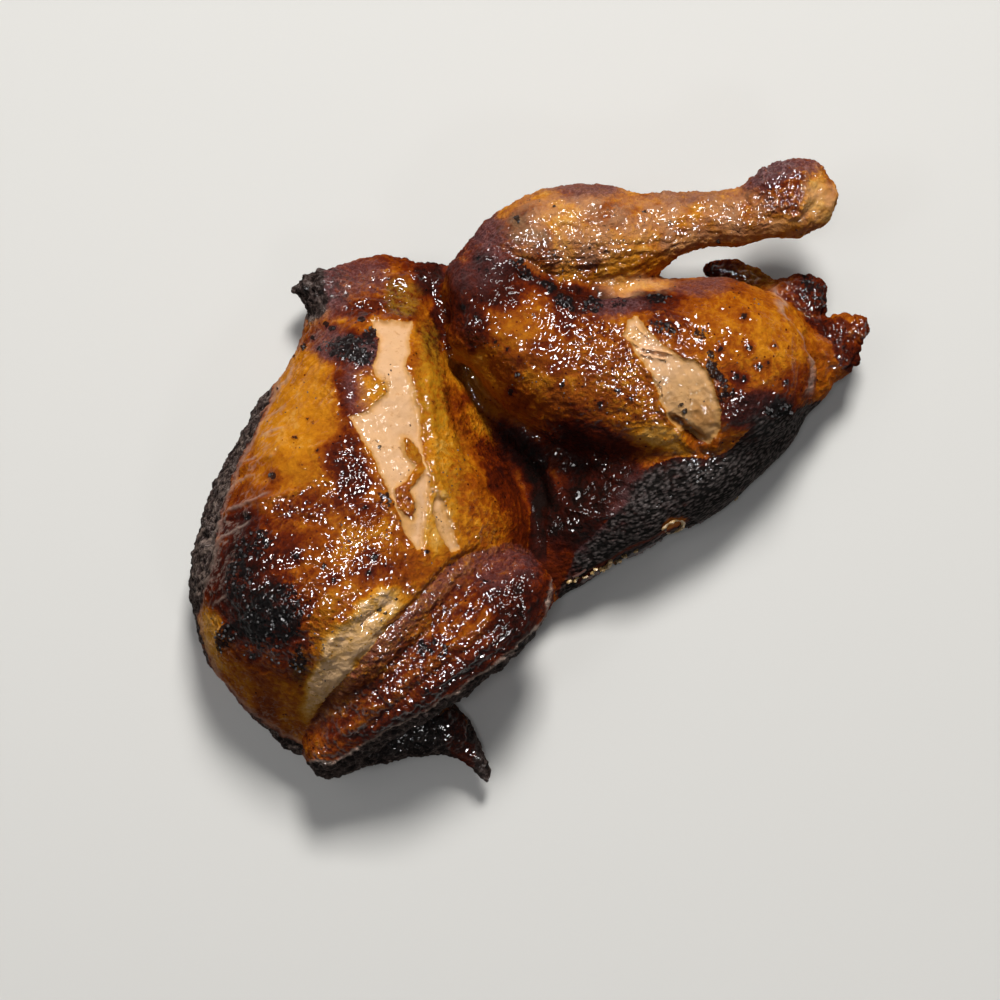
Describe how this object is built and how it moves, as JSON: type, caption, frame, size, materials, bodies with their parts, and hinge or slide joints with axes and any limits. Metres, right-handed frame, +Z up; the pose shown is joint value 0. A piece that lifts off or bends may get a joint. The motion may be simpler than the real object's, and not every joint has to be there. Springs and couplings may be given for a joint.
{
  "type": "roast chicken half",
  "caption": "Half of a roast chicken lying on its cut side, skin up: breast, wing, thigh, drumstick, back strip and tail in one piece.",
  "frame": {"origin": "middle of the footprint, on the plane of the flat cut side that the piece rests on", "axes": "+X from the breast to the leg and tail, +Y from the wing to the drumstick, +Z up from the cut side"},
  "size_m": [0.1892, 0.1724, 0.0582],
  "materials": {
    "roast_skin": "glossy browned skin, charred in places and torn over pale meat"
  },
  "bodies": {
    "root": {"half_chicken": "roast_skin"}
  },
  "joints": []
}
